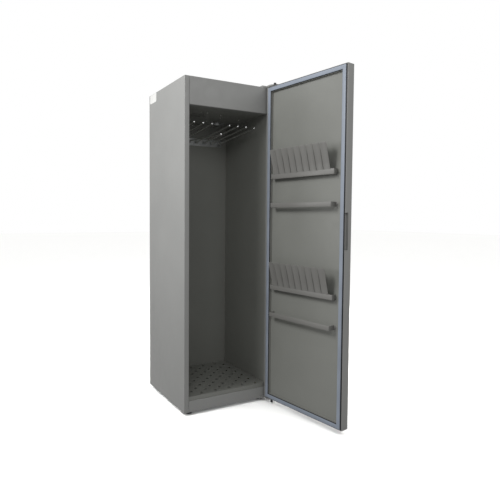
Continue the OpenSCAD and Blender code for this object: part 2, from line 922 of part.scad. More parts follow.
module door_magnet() {
    x0 = door_x0 + seal_margin + 2;
    color(dark_c) on_door()
        span([x0, door_in - casing_t - 8, opening_top + 20], [x0 + 20, door_in - casing_t, opening_top + 32]);
}

// A strip that stands off the lining on its two bent ends
module strip(l, h, stand_off, z) {
    y1 = lining_face + stand_off;
    span([-l / 2, y1 - strip_t, z], [l / 2, y1, z + h]);
    for (x = [-l / 2, l / 2 - strip_t])
        span([x, lining_face, z], [x + strip_t, y1, z + h]);
}

module rail(z) {
    foot_l = 13;
    color(casing_c) on_door() union() {
        strip(rail_l, rail_strip_h, rail_stand_off, z);
        for (x = [-rail_l / 2 - foot_l, rail_l / 2 - strip_t])
            span([x, lining_face, z], [x + foot_l + strip_t, lining_face + strip_t, z + rail_strip_h]);
    }
}

module rail_upper() {
    rail(base + rail_heights[1]);
}

module rail_lower() {
    rail(base + rail_heights[0]);
}

// A tongue with round top corners, leaning away from the lining
module tongue() {
    rotate([-tongue_lean, 0, 0]) {
        translate([-tongue_w / 2, 0, 0]) cube([tongue_w, strip_t, tongue_l - tongue_round]);
        translate([-tongue_w / 2 + tongue_round, 0, 0]) cube([tongue_w - 2 * tongue_round, strip_t, tongue_l]);
        for (side = [-1, 1])
            rod_y([side * (tongue_w / 2 - tongue_round), 0, tongue_l - tongue_round], tongue_round, strip_t);
    }
}

// A glove rack: a front strip, a floor behind it, and the tongues that rise from that floor's front
module glove_rack(z) {
    y1 = lining_face + rack_stand_off;
    color(casing_c) on_door() union() {
        strip(rack_l, rack_strip_h, rack_stand_off, z);
        span([-rack_l / 2, lining_face, z], [rack_l / 2, y1, z + strip_t]);
        for (i = [0 : tongue_count - 1])
            translate([(i - (tongue_count - 1) / 2) * tongue_pitch, y1 - strip_t - 1, z + rack_strip_h - 8])
                tongue();
    }
}

module glove_rack_upper() {
    glove_rack(base + rack_heights[1]);
}

module glove_rack_lower() {
    glove_rack(base + rack_heights[0]);
}

// ---- Controls ----

module control_panel() {
    y0 = door_out - panel_t;
    inner_w = housing_w - 2 * duct_wall;
    inner_h = housing_h - 2 * duct_wall;
    color(dark_c) on_door() difference() {
        union() {
            span([-panel_w / 2, y0, panel_z - panel_h / 2], [panel_w / 2, door_out, panel_z + panel_h / 2]);
            span([-housing_w / 2, y0, panel_z - housing_h / 2],
                 [housing_w / 2, door_out + housing_d, panel_z + housing_h / 2]);
        }
        span([-inner_w / 2, door_out, panel_z - inner_h / 2],
             [inner_w / 2, door_out + housing_d + over, panel_z + inner_h / 2]);
        span([display_x - display_w / 2, y0 - over, panel_z - display_h / 2],
             [display_x + display_w / 2, y0 + display_t, panel_z + display_h / 2]);
        span([display_x - display_w / 2 + 4, y0, panel_z - display_h / 2 + 4],
             [display_x + display_w / 2 - 4, door_out + over, panel_z + display_h / 2 - 4]);
        for (x = button_x)
            rod_y([x, y0 - over, panel_z], button_r + slide_gap, panel_t + 2 * over);
    }
}

module display_window() {
    y0 = door_out - panel_t;
    w = display_w - 2 * slide_gap;
    h = display_h - 2 * slide_gap;
    color([0.1, 0.12, 0.16, 0.6]) on_door()
        span([display_x - w / 2, y0, panel_z - h / 2], [display_x + w / 2, y0 + display_t, panel_z + h / 2]);
}

module control_circuit() {
    w = housing_w - 2 * duct_wall - 2 * slide_gap;
    h = housing_h - 2 * duct_wall - 2 * slide_gap;
    y0 = door_out + housing_d - 4;
    switch_y = door_out + slide_gap + button_flange + button_travel + slide_gap;
    color(board_c) on_door() union() {
        span([-w / 2, y0, panel_z - h / 2], [w / 2, y0 + 1.6, panel_z + h / 2]);
        span([display_x - 40, door_out + 2, panel_z - 10], [display_x + 40, y0 + 1, panel_z + 10]);
        for (x = button_x)
            rod_y([x, switch_y, panel_z], 3, y0 - switch_y + 1);
    }
}

module button(x) {
    color(steel_c) on_door() union() {
        rod_y([x, door_out - panel_t - button_out, panel_z], button_r, panel_t + button_out + slide_gap + 1);
        rod_y([x, door_out + slide_gap, panel_z], button_r + 1.6, button_flange);
    }
}

module button_power() {
    button(button_x[0]);
}

module button_mode() {
    button(button_x[1]);
}

module button_start() {
    button(button_x[2]);
}

side_panel_left();
side_panel_right();
back_panel();
top_panel();
front_fascia();
front_plinth();
bottom_panel();
foot_front_left();
foot_front_right();
foot_rear_left();
foot_rear_right();
inner_wall_left();
inner_wall_right();
inner_wall_back();
ceiling_plate();
insulation_left();
insulation_right();
floor_grate();
rod_rail();
rod_pins();
rod_1();
rod_2();
rod_3();
rod_4();
rod_5();
rod_6();
rod_7();
rod_8();
fan_housing();
fan_wheel();
fan_motor();
heater_box();
heater_elements();
thermostat();
control_board();
cable_gland();
exhaust_spigot();
reed_switch();
hinge_bracket_top();
hinge_bracket_bottom();
hinge_pins();
casing_screws();
door_shell();
door_lining();
door_insulation();
door_seal();
finger_notch();
hinge_bushes();
door_stops();
rail_upper();
rail_lower();
glove_rack_upper();
glove_rack_lower();
door_magnet();
control_panel();
display_window();
control_circuit();
button_power();
button_mode();
button_start();
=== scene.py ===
import json
import math
import bmesh
import bpy
from mathutils import Matrix, Vector


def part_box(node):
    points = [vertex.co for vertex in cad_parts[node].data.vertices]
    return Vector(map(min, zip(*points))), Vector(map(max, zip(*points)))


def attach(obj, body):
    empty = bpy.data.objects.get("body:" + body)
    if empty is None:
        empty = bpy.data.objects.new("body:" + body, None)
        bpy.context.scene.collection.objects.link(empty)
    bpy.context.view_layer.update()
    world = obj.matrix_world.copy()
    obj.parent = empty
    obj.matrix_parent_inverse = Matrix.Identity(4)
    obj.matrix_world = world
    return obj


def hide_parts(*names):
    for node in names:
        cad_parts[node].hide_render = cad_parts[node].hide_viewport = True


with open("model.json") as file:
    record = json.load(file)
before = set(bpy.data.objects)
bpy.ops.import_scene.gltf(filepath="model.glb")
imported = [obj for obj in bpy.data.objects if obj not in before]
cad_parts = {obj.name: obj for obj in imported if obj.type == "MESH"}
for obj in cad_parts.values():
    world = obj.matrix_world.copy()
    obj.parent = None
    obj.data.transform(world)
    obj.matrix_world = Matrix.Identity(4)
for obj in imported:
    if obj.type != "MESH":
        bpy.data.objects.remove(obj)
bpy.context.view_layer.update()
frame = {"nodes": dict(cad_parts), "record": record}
print("frame loaded:", len(frame["nodes"]), "nodes")

photoCamera = {
    "place": (-1.42598, -2.66378, 1.15427),
    "yaw": 0.484,  # radians from the back towards the right
    "pitch": -0.048,
    "roll": 0.004,
    "lens": 33.7,  # millimetres, as the sensor
    "sensor": 36,
    "shiftX": 0.0908,
    "shiftY": -0.0224,
    "farEnd": 200,
}
studio = {
    "floorSize": 60,
    "floorTone": (0.9, 0.9, 0.89, 1),
    "floorDullness": 0.9,
    "floorLight": 2.6,
    "floorLightSpread": 60,  # degrees
    "skyTone": (1.0, 1.0, 1.0, 1),
    "skyStrength": 0.3,  # what the surroundings give the object
    "backdropStrength": 1.0,  # how pale they look
    "aim": (0, 0, 0.95),  # where every soft light points
    "lights": {  # place, width in metres, watts
        "highLeftLight": ((-2.6, -0.4, 2.8), 0.9, 32),
        "topLeftLight": ((-2.4, -0.1, 3.4), 0.9, 25),
        "rearLeftLight": ((-3.0, 1.6, 1.6), 1.6, 25),
        "nearLeftLight": ((-1.6, 0.8, 2.4), 0.8, 3),
        "frontRightLight": ((1.6, -3.6, 3.0), 1.6, 20),
        "frontLeftLight": ((-2.2, -3.0, 2.8), 1.2, 20),
        "frontLight": ((0.4, -4.2, 2.6), 1.6, 12),
        "rearRightLight": ((2.4, 2.4, 2.4), 1.6, 60),
    },
}


def aimCamera(settings):
    cameraData = bpy.data.cameras.new("photoCamera")
    camera = bpy.data.objects.new("photoCamera", cameraData)
    bpy.context.scene.collection.objects.link(camera)
    yaw, pitch, roll = settings["yaw"], settings["pitch"], settings["roll"]
    level = math.cos(pitch)
    ahead = Vector((math.sin(yaw) * level, math.cos(yaw) * level, math.sin(pitch)))
    side = Vector((math.cos(yaw), -math.sin(yaw), 0))
    up = side.cross(ahead)
    rolledSide = side * math.cos(roll) + up * math.sin(roll)
    rolledUp = up * math.cos(roll) - side * math.sin(roll)
    turn = Matrix((rolledSide, rolledUp, -ahead)).transposed()
    camera.matrix_world = Matrix.Translation(settings["place"]) @ turn.to_4x4()
    cameraData.lens = settings["lens"]
    cameraData.sensor_width = settings["sensor"]
    cameraData.shift_x = settings["shiftX"]
    cameraData.shift_y = settings["shiftY"]
    cameraData.clip_end = settings["farEnd"]
    bpy.context.scene.camera = camera


def addSoftLight(name, place, size, power, aim):
    lightData = bpy.data.lights.new(name, "AREA")
    lightData.shape = "DISK"
    lightData.size = size
    lightData.energy = power
    light = bpy.data.objects.new(name, lightData)
    bpy.context.scene.collection.objects.link(light)
    light.location = place
    light.visible_camera = False
    light.rotation_euler = (Vector(aim) - Vector(place)).to_track_quat("-Z", "Y").to_euler()


# Keeps the whole floor pale, however far it runs
def lightFloor(floor, strength, spread):
    lightData = bpy.data.lights.new("floorLight", "SUN")
    lightData.energy = strength
    lightData.angle = math.radians(spread)
    light = bpy.data.objects.new("floorLight", lightData)
    bpy.context.scene.collection.objects.link(light)
    lit = bpy.data.collections.new("litFloor")
    lit.objects.link(floor)
    light.light_linking.receiver_collection = lit


def makeStudio(settings):
    world = bpy.data.worlds.new("studioSky")
    bpy.context.scene.world = world
    world.use_nodes = True
    tree = world.node_tree
    sky = tree.nodes["Background"]
    sky.inputs["Color"].default_value = settings["skyTone"]
    sky.inputs["Strength"].default_value = settings["skyStrength"]
    backdrop = tree.nodes.new("ShaderNodeBackground")
    backdrop.inputs["Color"].default_value = settings["skyTone"]
    backdrop.inputs["Strength"].default_value = settings["backdropStrength"]
    seen = tree.nodes.new("ShaderNodeLightPath")
    either = tree.nodes.new("ShaderNodeMixShader")
    tree.links.new(seen.outputs["Is Camera Ray"], either.inputs[0])
    tree.links.new(sky.outputs[0], either.inputs[1])
    tree.links.new(backdrop.outputs[0], either.inputs[2])
    tree.links.new(either.outputs[0], tree.nodes["World Output"].inputs["Surface"])
    for name, (place, width, power) in settings["lights"].items():
        addSoftLight(name, place, width, power, settings["aim"])
    bpy.context.scene.view_settings.view_transform = "Standard"
    bpy.ops.mesh.primitive_plane_add(size=settings["floorSize"], location=(0, 0, 0))
    floor = bpy.context.object
    floor.name = "studioFloor"
    paper = bpy.data.materials.new("studioPaper")
    paper.use_nodes = True
    sheet = paper.node_tree.nodes["Principled BSDF"]
    sheet.inputs["Base Color"].default_value = settings["floorTone"]
    sheet.inputs["Roughness"].default_value = settings["floorDullness"]
    floor.data.materials.append(paper)
    floor.visible_diffuse = False  # the floor sends no light up the cabinet
    floor.visible_glossy = False
    lightFloor(floor, settings["floorLight"], settings["floorLightSpread"])


aimCamera(photoCamera)
makeStudio(studio)
print("camera and studio set")


def addNode(tree, kind, values=None, **settings):
    node = tree.nodes.new(kind)
    for name, value in settings.items():
        setattr(node, name, value)
    for name, value in (values or {}).items():
        node.inputs[name].default_value = value
    return node


def link(tree, source, target):
    tree.links.new(source, target)


# A surface group: what it is given, and the tone, roughness and relief that it puts out
def startGroup(name, inputs):
    tree = bpy.data.node_groups.new(name, "ShaderNodeTree")
    for label, kind, value in inputs:
        socket = tree.interface.new_socket(label, in_out="INPUT", socket_type=kind)
        if value is not None:
            socket.default_value = value
    for label, kind in (("Color", "NodeSocketColor"), ("Roughness", "NodeSocketFloat"),
                        ("Normal", "NodeSocketVector")):
        tree.interface.new_socket(label, in_out="OUTPUT", socket_type=kind)
    return tree, tree.nodes.new("NodeGroupInput").outputs, tree.nodes.new("NodeGroupOutput").inputs


def addNoise(tree, vector, values):
    noise = addNode(tree, "ShaderNodeTexNoise", values)
    link(tree, vector, noise.inputs["Vector"])
    return noise.outputs["Fac"]


# Spreads the middle of a pattern over a range of values
def addSpread(tree, pattern, low, high, start=0.3, end=0.7):
    spread = addNode(tree, "ShaderNodeMapRange", {"From Min": start, "From Max": end, "To Min": low,
                                                  "To Max": high})
    link(tree, pattern, spread.inputs["Value"])
    return spread.outputs[0]


def combine(tree, kind, first, second, **settings):
    joined = addNode(tree, kind, **settings)
    link(tree, first, joined.inputs[0])
    link(tree, second, joined.inputs[1])
    return joined.outputs[0]


# Puts out a colour times its tone, a roughness plus its spread, and a relief as a bump
def putOut(tree, result, colour, roughness, relief):
    link(tree, combine(tree, "ShaderNodeVectorMath", *colour, operation="MULTIPLY"), result["Color"])
    link(tree, combine(tree, "ShaderNodeMath", *roughness, operation="ADD", use_clamp=True),
         result["Roughness"])
    strength, height, distance = relief
    bump = addNode(tree, "ShaderNodeBump", {"Distance": distance})
    link(tree, strength, bump.inputs["Strength"])
    link(tree, height, bump.inputs["Height"])
    link(tree, bump.outputs[0], result["Normal"])


# Fine uneven surface of baked powder paint, with faint cloudy tone and wiped marks
def buildPowderPaint():
    tree, given, result = startGroup("powderPaint", [
        ("Vector", "NodeSocketVector", None),
        ("Paint", "NodeSocketColor", (0.5, 0.5, 0.5, 1)),
        ("Cloud", "NodeSocketFloat", 0.06),
        ("Peel", "NodeSocketFloat", 0.1),
        ("Gloss", "NodeSocketFloat", 0.45),
    ])
    cloud = addNoise(tree, given["Vector"], {"Scale": 2.2, "Detail": 5.0, "Roughness": 0.55})
    wipe = addNoise(tree, given["Vector"], {"Scale": 9.0, "Detail": 3.0, "Distortion": 1.4})
    speck = addNoise(tree, given["Vector"], {"Scale": 420.0, "Detail": 2.0})
    peel = addNoise(tree, given["Vector"], {"Scale": 260.0, "Detail": 3.0, "Roughness": 0.6})
    darkest = addNode(tree, "ShaderNodeMath", {0: 1.0}, operation="SUBTRACT")
    link(tree, given["Cloud"], darkest.inputs[1])
    tone = addSpread(tree, cloud, 0.0, 1.03)
    link(tree, darkest.outputs[0], tone.node.inputs["To Min"])
    grain = addSpread(tree, speck, 0.97, 1.03)
    both = combine(tree, "ShaderNodeMath", tone, grain, operation="MULTIPLY")
    marks = addSpread(tree, wipe, -0.05, 0.09, end=0.75)
    putOut(tree, result, colour=(given["Paint"], both), roughness=(given["Gloss"], marks),
           relief=(given["Peel"], peel, 0.0004))
    return tree


# Long fine grain of drawn or brushed metal; the vector is stretched along the grain by the material
def buildMetalGrain():
    tree, given, result = startGroup("metalGrain", [
        ("Vector", "NodeSocketVector", None),
        ("Metal", "NodeSocketColor", (0.6, 0.6, 0.6, 1)),
        ("Dull", "NodeSocketFloat", 0.3),
        ("Grain", "NodeSocketFloat", 0.15),
    ])
    fine = addNoise(tree, given["Vector"], {"Scale": 300.0, "Detail": 4.0})
    broad = addNoise(tree, given["Vector"], {"Scale": 12.0, "Detail": 4.0})
    tone = addSpread(tree, broad, 0.86, 1.06)
    lines = addSpread(tree, fine, -0.07, 0.1)
    putOut(tree, result, colour=(given["Metal"], tone), roughness=(given["Dull"], lines),
           relief=(given["Grain"], fine, 0.0002))
    return tree


# Close pebbled skin of moulded plastic and rubber, and coarser, of mineral wool
def buildMouldedSkin():
    tree, given, result = startGroup("mouldedSkin", [
        ("Vector", "NodeSocketVector", None),
        ("Colour", "NodeSocketColor", (0.1, 0.1, 0.1, 1)),
        ("Pebble", "NodeSocketFloat", 900.0),
        ("Depth", "NodeSocketFloat", 0.2),
        ("Matt", "NodeSocketFloat", 0.6),
    ])
    pebble = addNode(tree, "ShaderNodeTexVoronoi", feature="F1")
    link(tree, given["Vector"], pebble.inputs["Vector"])
    link(tree, given["Pebble"], pebble.inputs["Scale"])
    fade = addNoise(tree, given["Vector"], {"Scale": 6.0, "Detail": 5.0, "Roughness": 0.6})
    tone = addSpread(tree, fade, 0.9, 1.08)
    wear = addSpread(tree, fade, -0.06, 0.08)
    putOut(tree, result, colour=(given["Colour"], tone), roughness=(given["Matt"], wear),
           relief=(given["Depth"], pebble.outputs["Distance"], 0.0002))
    return tree


groups = {"powderPaint": buildPowderPaint(), "metalGrain": buildMetalGrain(),
          "mouldedSkin": buildMouldedSkin()}


# A material: one group fed by object coordinates, stretched where there is a grain, and one shader
def makeFinish(name, group, values, stretch=(1, 1, 1), shader=None):
    finish = bpy.data.materials.new(name)
    finish.use_nodes = True
    tree = finish.node_tree
    skin = tree.nodes["Principled BSDF"]
    for label, value in (shader or {}).items():
        skin.inputs[label].default_value = value
    place = addNode(tree, "ShaderNodeTexCoord")
    mapping = addNode(tree, "ShaderNodeMapping", {"Scale": stretch})
    link(tree, place.outputs["Object"], mapping.inputs["Vector"])
    effect = addNode(tree, "ShaderNodeGroup", node_tree=groups[group])
    for label, value in values.items():
        effect.inputs[label].default_value = value
    link(tree, mapping.outputs[0], effect.inputs["Vector"])
    link(tree, effect.outputs["Color"], skin.inputs["Base Color"])
    link(tree, effect.outputs["Roughness"], skin.inputs["Roughness"])
    link(tree, effect.outputs["Normal"], skin.inputs["Normal"])
    return finish


# Lays a plain colour over a finish where a mask is 1
def layOver(finish, mask, colour):
    tree = finish.node_tree
    effect = next(node for node in tree.nodes if node.type == "GROUP")
    mix = addNode(tree, "ShaderNodeMix", data_type="RGBA")
    mix.inputs["B"].default_value = colour
    link(tree, mask, mix.inputs["Factor"])
    link(tree, effect.outputs["Color"], mix.inputs["A"])
    link(tree, mix.outputs["Result"], tree.nodes["Principled BSDF"].inputs["Base Color"])


rodSteel = {"bar": (0.75, 0.75, 0.73, 1), "grain": 0.2, "barDull": 0.36, "ball": (0.9, 0.9, 0.9, 1),
            "ballDull": 0.12, "ballStart": -0.2025, "blend": 0.0005}  # the bars end at ballStart, along y


# Bare rods of drawn steel, with a polished ball beyond the end of the bar
def makeRodFinish(name, settings):
    finish = makeFinish(name, "metalGrain", {"Metal": settings["bar"], "Grain": settings["grain"]},
                        (1, 0.06, 1), {"Metallic": 1.0})
    tree = finish.node_tree
    place = addNode(tree, "ShaderNodeTexCoord")
    split = addNode(tree, "ShaderNodeSeparateXYZ")
    link(tree, place.outputs["Object"], split.inputs[0])
    ball = addSpread(tree, split.outputs["Y"], 0.0, 1.0, settings["ballStart"] + settings["blend"],
                     settings["ballStart"])
    layOver(finish, ball, settings["ball"])
    dull = addSpread(tree, ball, settings["barDull"], settings["ballDull"], 0.0, 1.0)
    link(tree, dull, tree.nodes["Principled BSDF"].inputs["Roughness"])
    return finish


# The door is modelled shut, its inner face towards the casing, and then swung about its pins
doorHinge = {"pivot": Vector((0.2735, -0.302, 0)), "angle": 98, "innerFace": -0.2825}
openSwing = (Matrix.Translation(doorHinge["pivot"])
             @ Matrix.Rotation(math.radians(doorHinge["angle"]), 4, "Z")
             @ Matrix.Translation(-doorHinge["pivot"]))
# The foot colour is painted shade: near black, standing in for the shadow in the undercut below the lip
sealRubber = {"lip": (0.3, 0.34, 0.405, 1), "foot": (0.02, 0.02, 0.023, 1), "pebble": 1400.0,
              "depth": 0.08, "matt": 0.48, "lipStart": 0.0056, "blend": 0.0005}


# Rubber seal: painted shade, near black, on its foot and flanks under the lip; tinted on the lip that meets
# the casing
def makeSealFinish(name, settings):
    finish = makeFinish(name, "mouldedSkin", {"Colour": settings["lip"], "Pebble": settings["pebble"],
                                              "Depth": settings["depth"], "Matt": settings["matt"]})
    tree = finish.node_tree
    outward = openSwing.to_3x3() @ Vector((0, 1, 0))
    start = (openSwing @ Vector((0, doorHinge["innerFace"], 0))).dot(outward) + settings["lipStart"]
    place = addNode(tree, "ShaderNodeTexCoord")
    height = addNode(tree, "ShaderNodeVectorMath", {1: outward}, operation="DOT_PRODUCT")
    link(tree, place.outputs["Object"], height.inputs[0])
    # Painted shade: near black below the lip's start height; above it, the lip's own tint
    foot = addSpread(tree, height.outputs["Value"], 1.0, 0.0, start, start + settings["blend"])
    layOver(finish, foot, settings["foot"])
    return finish


finishes = {
    "grey_paint": makeFinish("greyPaint", "powderPaint", {"Paint": (0.318, 0.32, 0.311, 1),
                             "Cloud": 0.05, "Peel": 0.1, "Gloss": 0.42}, shader={"Specular IOR Level": 0.45}),
    "lining_paint": makeFinish("liningPaint", "powderPaint", {"Paint": (0.252, 0.256, 0.236, 1),
                               "Cloud": 0.07, "Peel": 0.08, "Gloss": 0.4}),
    "rack_paint": makeFinish("rackPaint", "powderPaint", {"Paint": (0.225, 0.222, 0.21, 1),
                             "Cloud": 0.05, "Peel": 0.1, "Gloss": 0.38}),
    "zinc_steel": makeFinish("zincSteel", "metalGrain", {"Metal": (0.5, 0.51, 0.51, 1), "Dull": 0.38,
                             "Grain": 0.12}, (1, 0.2, 1), {"Metallic": 0.9}),
    "rod_steel": makeRodFinish("rodSteel", rodSteel),
    "wool": makeFinish("mineralWool", "mouldedSkin", {"Colour": (0.62, 0.55, 0.3, 1), "Pebble": 160.0,
                       "Depth": 1.0, "Matt": 0.9}, (1, 1, 0.4), {"Sheen Weight": 0.3}),
    "seal_rubber": makeSealFinish("sealRubber", sealRubber),
    "black_plastic": makeFinish("blackPlastic", "mouldedSkin", {"Colour": (0.03, 0.03, 0.033, 1),
                                "Pebble": 1100.0, "Depth": 0.25, "Matt": 0.5}),
    "motor_metal": makeFinish("motorPaint", "powderPaint", {"Paint": (0.05, 0.05, 0.055, 1),
                              "Cloud": 0.1, "Peel": 0.3, "Gloss": 0.4}),
    "heater_metal": makeFinish("heaterMetal", "metalGrain", {"Metal": (0.4, 0.34, 0.28, 1), "Dull": 0.4,
                               "Grain": 0.3}, (0.2, 1, 1), {"Metallic": 1.0}),
    "board": makeFinish("boardGreen", "mouldedSkin", {"Colour": (0.03, 0.16, 0.07, 1), "Pebble": 500.0,
                        "Depth": 0.1, "Matt": 0.35}, shader={"Coat Weight": 0.4}),
    "white_plastic": makeFinish("whitePlastic", "mouldedSkin", {"Colour": (0.72, 0.72, 0.7, 1),
                                "Pebble": 1000.0, "Depth": 0.1, "Matt": 0.45}),
    "button_grey": makeFinish("buttonPlastic", "mouldedSkin", {"Colour": (0.45, 0.46, 0.47, 1),
                              "Pebble": 1500.0, "Depth": 0.08, "Matt": 0.3}),
    "display_glass": makeFinish("displayGlass", "mouldedSkin", {"Colour": (0.01, 0.012, 0.018, 1),
                                "Pebble": 200.0, "Depth": 0.01, "Matt": 0.34},
                                shader={"Specular IOR Level": 0.3}),
}
slotOf = {entry["node"]: entry["material_slot"] for entry in frame["record"]["subparts"]}
for node, shape in frame["nodes"].items():
    if not shape.material_slots:
        shape.data.materials.append(None)
    for place in shape.material_slots:
        place.material = finishes[slotOf[node]]
print("finishes on", len(slotOf), "nodes")


def deselect():
    if bpy.context.object and bpy.context.object.mode != "OBJECT":
        bpy.ops.object.mode_set(mode="OBJECT")
    bpy.ops.object.select_all(action="DESELECT")


def pickOnly(shape):
    deselect()
    shape.select_set(True)
    bpy.context.view_layer.objects.active = shape


def addBox(name, low, high):
    deselect()
    low, high = Vector(low), Vector(high)
    bpy.ops.mesh.primitive_cube_add(size=1, location=(low + high) / 2)
    shape = bpy.context.object
    shape.name = name
    shape.scale = high - low
    bpy.ops.object.transform_apply(location=True, rotation=True, scale=True)
    return shape


# Runs one edit tool on the faces, edges or points that a test picks
def edit(shape, kind, chosen, tool, **how):
    pickOnly(shape)
    bpy.ops.object.mode_set(mode="EDIT")
    bpy.ops.mesh.select_mode(type=kind)
    bpy.ops.mesh.select_all(action="DESELECT")
    mesh = bmesh.from_edit_mesh(shape.data)
    parts = {"FACE": mesh.faces, "EDGE": mesh.edges, "VERT": mesh.verts}[kind]
    for part in parts:
        if chosen(part):
            part.select_set(True)
    mesh.select_flush_mode()
    bmesh.update_edit_mesh(shape.data)
    tool(**how)
    bpy.ops.object.mode_set(mode="OBJECT")


tolerance = {"place": 0.0002, "samePoint": 0.00001, "merge": 0.000005,  # metres
             "flat": 0.5,  # degrees
             "facing": 0.9}  # how much of a face's normal runs along the axis


def facing(axis, sign):
    return lambda face: face.normal[axis] * sign > tolerance["facing"]


def near(value, target, reach=tolerance["place"]):
    return abs(value - target) < reach


# Edges that run along one axis and pass a place given for the other two
def edgeAlong(axis, places):
    others = [i for i in range(3) if i != axis]
    hair = tolerance["samePoint"]

    def test(edge):
        a, b = (point.co for point in edge.verts)
        if any(not near(a[i], b[i], hair) for i in others) or near(a[axis], b[axis], hair):
            return False
        return any(near(a[others[0]], u) and near(a[others[1]], v) for u, v in places)
    return test


def drop(shape, *tests):
    for test in tests:
        edit(shape, "FACE", test, bpy.ops.mesh.delete, type="FACE")


def roundEdges(shape, test, radius, steps=4):
    edit(shape, "EDGE", test, bpy.ops.mesh.bevel, offset=radius, segments=steps, profile=0.5,
         affect="EDGES")


def finishWith(shape, kind, **settings):
    pickOnly(shape)
    tool = shape.modifiers.new(kind.title(), kind)
    for name, value in settings.items():
        setattr(tool, name, value)
    bpy.ops.object.modifier_apply(modifier=tool.name)


# Takes the sharpness off every corner
def easeCorners(shape, width, steps=2, angle=60, **settings):
    finishWith(shape, "BEVEL", width=width, segments=steps, limit_method="ANGLE",
               angle_limit=math.radians(angle), **settings)


def giveThickness(shape, thickness):
    finishWith(shape, "SOLIDIFY", thickness=thickness, offset=-1, use_even_offset=True)


def cutWith(shape, cutter):
    finishWith(shape, "BOOLEAN", operation="DIFFERENCE", solver="EXACT", object=cutter)
    bpy.data.objects.remove(cutter, do_unlink=True)


# Splits every face along a plane, then deletes the faces whose middles lie in a box
def cutAway(shape, low, high, axes):
    for axis in axes:
        for place in (low[axis], high[axis]):
            spot, normal = Vector((0, 0, 0)), Vector((0, 0, 0))
            spot[axis], normal[axis] = place, 1
            pickOnly(shape)
            bpy.ops.object.mode_set(mode="EDIT")
            bpy.ops.mesh.select_all(action="SELECT")
            bpy.ops.mesh.bisect(plane_co=spot, plane_no=normal)
            bpy.ops.object.mode_set(mode="OBJECT")
    drop(shape, lambda face: all(low[i] < face.calc_center_median()[i] < high[i] for i in range(3)))


def smooth(shape, angle=32):
    pickOnly(shape)
    bpy.ops.object.shade_smooth_by_angle(angle=math.radians(angle))


def join(parts, name):
    deselect()
    for part in parts:
        part.select_set(True)
    bpy.context.view_layer.objects.active = parts[0]
    bpy.ops.object.join()
    bpy.context.object.name = name
    return bpy.context.object


def copyOf(shape, name):
    copied = shape.copy()
    copied.data = shape.data.copy()
    copied.name = name
    bpy.context.scene.collection.objects.link(copied)
    return copied


def mirrored(shape, name):
    other = copyOf(shape, name)
    other.data.transform(Matrix.Scale(-1, 4, (1, 0, 0)))
    other.data.flip_normals()
    return other


def swingOpen(shape):
    shape.data.transform(openSwing)


def settle(shape, body, slot, *nodes):
    shape.data.materials.clear()
    shape.data.materials.append(finishes[slot])
    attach(shape, body)
    if nodes:
        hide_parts(*nodes)


easing = {"sharp": 38, "shade": 35}  # degrees


# A copy of a CAD node with its sharp edges eased
def easedCopy(node, body, width, steps=2):
    source = frame["nodes"][node]
    eased = copyOf(source, node + "_eased")
    eased.parent = None
    eased.matrix_world = Matrix.Identity(4)
    pickOnly(eased)
    bpy.ops.object.mode_set(mode="EDIT")
    bpy.ops.mesh.select_all(action="SELECT")
    bpy.ops.mesh.remove_doubles(threshold=tolerance["merge"])
    bpy.ops.mesh.dissolve_limited(angle_limit=math.radians(tolerance["flat"]))
    bpy.ops.object.mode_set(mode="OBJECT")
    easeCorners(eased, width, steps, easing["sharp"], use_clamp_overlap=True)
    smooth(eased, easing["shade"])
    settle(eased, body, slotOf[node], node)


sidePanel = {"bend": 0.0028, "sheet": 0.0012, "jamb": 0.018, "rearFlange": 0.018, "trim": 0.028}


def makeSidePanels(settings):
    low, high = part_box("side_panel_left")
    panel = addBox("leftSideSkin", low, high)
    drop(panel, facing(0, 1), facing(2, 1), facing(2, -1))
    edit(panel, "VERT", lambda point: near(point.co.x, high.x) and near(point.co.y, high.y),
         bpy.ops.transform.translate, value=(settings["rearFlange"] - high.x + low.x, 0, 0))
    edit(panel, "EDGE", edgeAlong(2, [(high.x, low.y)]), bpy.ops.mesh.extrude_edges_move,
         TRANSFORM_OT_translate={"value": (0, settings["jamb"], 0)})
    for level, way in ((low.z, 1), (high.z, -1)):
        edit(panel, "VERT", lambda point: near(point.co.y, low.y + settings["jamb"])
             and near(point.co.z, level), bpy.ops.transform.translate,
             value=(0, 0, way * settings["trim"]))
    roundEdges(panel, edgeAlong(2, [(low.x, low.y), (high.x, low.y), (low.x, high.y)]),
               settings["bend"], steps=5)
    giveThickness(panel, settings["sheet"])
    smooth(panel)
    right = mirrored(panel, "rightSideSkin")
    settle(panel, "casing", "grey_paint", "side_panel_left")
    settle(right, "casing", "grey_paint", "side_panel_right")


topPanel = {"bend": 0.002, "sheet": 0.0012, "cutRadius": 0.0505, "cutSides": 96, "cutDepth": 0.02,
            "rearStep": 0.00125}


def makeTopPanel(settings):
    low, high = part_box("top_panel")
    high.y -= settings["rearStep"]  # its flange hangs just inside the back panel
    panel = addBox("topSkin", low, high)
    drop(panel, facing(2, -1))
    roundEdges(panel, lambda edge: all(near(point.co.z, high.z) for point in edge.verts),
               settings["bend"])
    giveThickness(panel, settings["sheet"])
    spigotLow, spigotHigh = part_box("exhaust_spigot")
    middle = (spigotLow + spigotHigh) / 2
    deselect()
    bpy.ops.mesh.primitive_cylinder_add(vertices=settings["cutSides"], radius=settings["cutRadius"],
                                        depth=settings["cutDepth"], location=(middle.x, middle.y, high.z))
    cutWith(panel, bpy.context.object)
    smooth(panel)
    settle(panel, "casing", "grey_paint", "top_panel")


fascia = {"bend": 0.004, "sheet": 0.0012}


def makeFascia(settings):
    low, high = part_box("front_fascia")
    panel = addBox("fasciaSkin", low, high)
    drop(panel, facing(1, 1), facing(2, 1))
    roundEdges(panel, edgeAlong(0, [(low.y, low.z)]), settings["bend"], steps=6)
    giveThickness(panel, settings["sheet"])
    smooth(panel)
    settle(panel, "casing", "grey_paint", "front_fascia")


plinth = {"bend": 0.002, "sheet": 0.0012}


